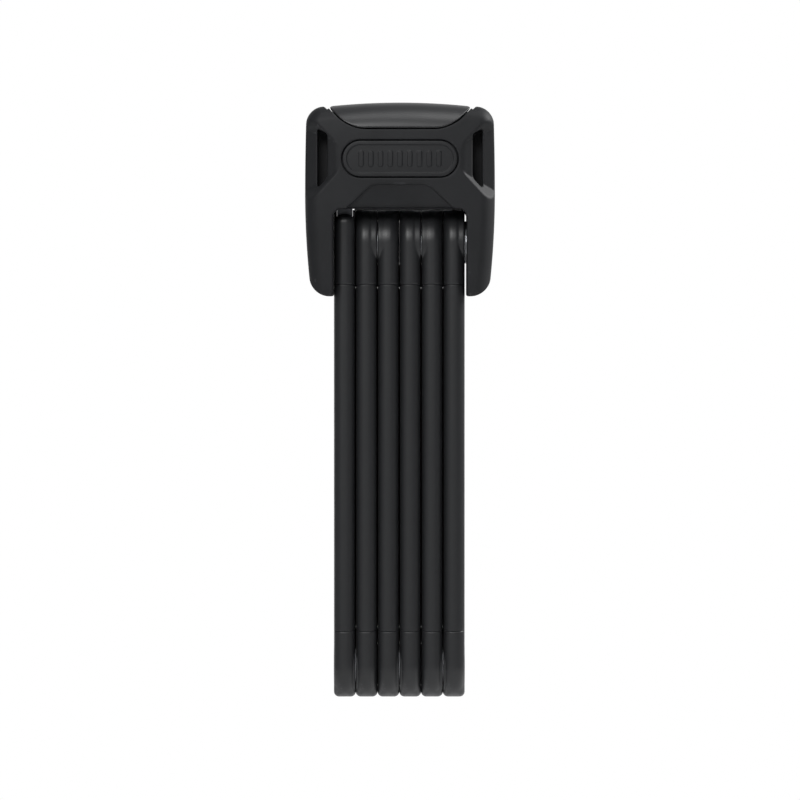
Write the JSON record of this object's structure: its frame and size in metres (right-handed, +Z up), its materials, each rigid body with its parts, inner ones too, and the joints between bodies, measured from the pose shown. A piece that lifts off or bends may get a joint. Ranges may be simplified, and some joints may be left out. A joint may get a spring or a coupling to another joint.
{
  "type": "folding lock",
  "caption": "Folding lock: a two-legged lock head with a sliding keyhole cover above a stack of steel bars in plastic sleeves, riveted end to end and folded flat side by side.",
  "frame": {"origin": "under the middle of the folded lock, at the lower ends of the bars", "axes": "+Z up along the folded bars towards the head, the badge faces -Y, and the hinge pins lie along X"},
  "size_m": [0.0628, 0.0356, 0.197],
  "materials": {
    "bar_steel": "satin, hardened",
    "bar_sleeve": "soft matt black",
    "bar_end_cover": "soft matt black",
    "rivet_steel": "dark, flush",
    "washer_steel": "satin",
    "soft_cover": "soft-touch matt black",
    "badge_plastic": "soft-touch matt black",
    "cap_plastic": "satin black",
    "seal_rubber": "matt",
    "screw_steel": "blackened",
    "frame_steel": "black coated hardened steel",
    "cylinder_brass": "satin",
    "inner_steel": "satin"
  },
  "bodies": {
    "head": {"lock_frame": "frame_steel", "front_cover": "soft_cover", "rear_cover": "soft_cover", "badge": "badge_plastic", "top_cap": "cap_plastic", "keyhole_seal": "seal_rubber", "cover_screw_left": "screw_steel", "cover_screw_right": "screw_steel", "cylinder_housing": "cylinder_brass", "cylinder_retaining_pin": "inner_steel", "anti_drill_pin_front": "inner_steel", "anti_drill_pin_rear": "inner_steel", "bolt_cover_plate": "inner_steel", "bolt_spring": "inner_steel", "body_rivet": "rivet_steel", "body_washer": "washer_steel"},
    "shutter": {"keyhole_shutter": "cap_plastic"},
    "rotor": {"key_rotor": "cylinder_brass", "sidebar": "inner_steel", "cam_drive": "inner_steel", "detainer_disc_1": "cylinder_brass", "detainer_disc_2": "cylinder_brass", "detainer_disc_3": "cylinder_brass", "detainer_disc_4": "cylinder_brass", "detainer_disc_5": "cylinder_brass"},
    "bolt": {"locking_bolt": "inner_steel"},
    "bar_1": {"bar_1_core": "bar_steel", "bar_1_sleeve": "bar_sleeve", "bar_1_lower_cover": "bar_end_cover", "bar_1_upper_cover": "bar_end_cover", "bar_1_rivet": "rivet_steel", "bar_1_washer": "washer_steel"},
    "bar_2": {"bar_2_core": "bar_steel", "bar_2_sleeve": "bar_sleeve", "bar_2_lower_cover": "bar_end_cover", "bar_2_upper_cover": "bar_end_cover", "bar_2_rivet": "rivet_steel", "bar_2_washer": "washer_steel"},
    "bar_3": {"bar_3_core": "bar_steel", "bar_3_sleeve": "bar_sleeve", "bar_3_lower_cover": "bar_end_cover", "bar_3_upper_cover": "bar_end_cover", "bar_3_rivet": "rivet_steel", "bar_3_washer": "washer_steel"},
    "bar_4": {"bar_4_core": "bar_steel", "bar_4_sleeve": "bar_sleeve", "bar_4_lower_cover": "bar_end_cover", "bar_4_upper_cover": "bar_end_cover", "bar_4_rivet": "rivet_steel", "bar_4_washer": "washer_steel"},
    "bar_5": {"bar_5_core": "bar_steel", "bar_5_sleeve": "bar_sleeve", "bar_5_lower_cover": "bar_end_cover", "bar_5_upper_cover": "bar_end_cover", "bar_5_rivet": "rivet_steel", "bar_5_washer": "washer_steel"},
    "bar_6": {"bar_6_core": "bar_steel", "bar_6_sleeve": "bar_sleeve", "bar_6_lower_cover": "bar_end_cover", "bar_6_upper_cover": "bar_end_cover"}
  },
  "joints": [
    {"name": "body_hinge", "type": "hinge", "parent": "head", "child": "bar_1", "pos_m": [0, 0, 0.1508], "axis": [-1, 0, 0], "range_deg": [0, 90]},
    {"name": "hinge_1_2", "type": "hinge", "parent": "bar_1", "child": "bar_2", "pos_m": [0, 0, 0.0108], "axis": [-1, 0, 0], "range_deg": [0, 180]},
    {"name": "hinge_2_3", "type": "hinge", "parent": "bar_2", "child": "bar_3", "pos_m": [0, 0, 0.1508], "axis": [-1, 0, 0], "range_deg": [0, 90]},
    {"name": "hinge_3_4", "type": "hinge", "parent": "bar_3", "child": "bar_4", "pos_m": [0, 0, 0.0108], "axis": [-1, 0, 0], "range_deg": [0, 180]},
    {"name": "hinge_4_5", "type": "hinge", "parent": "bar_4", "child": "bar_5", "pos_m": [0, 0, 0.1508], "axis": [-1, 0, 0], "range_deg": [0, 90]},
    {"name": "hinge_5_6", "type": "hinge", "parent": "bar_5", "child": "bar_6", "pos_m": [0, 0, 0.0108], "axis": [-1, 0, 0], "range_deg": [0, 180]},
    {"name": "key_turn", "type": "hinge", "parent": "head", "child": "rotor", "pos_m": [0, 0, 0.18], "axis": [0, 0, 1], "range_deg": [0, 90]},
    {"name": "bolt_slide", "type": "slide", "parent": "head", "child": "bolt", "axis": [-1, 0, 0], "range_m": [0, 0.00576]},
    {"name": "shutter_slide", "type": "slide", "parent": "head", "child": "shutter", "axis": [1, 0, 0], "range_m": [0, 0.009]}
  ],
  "couplings": [
    {"joint": "bolt_slide", "follows": "key_turn", "m_per_rad": 0.0036013}
  ]
}
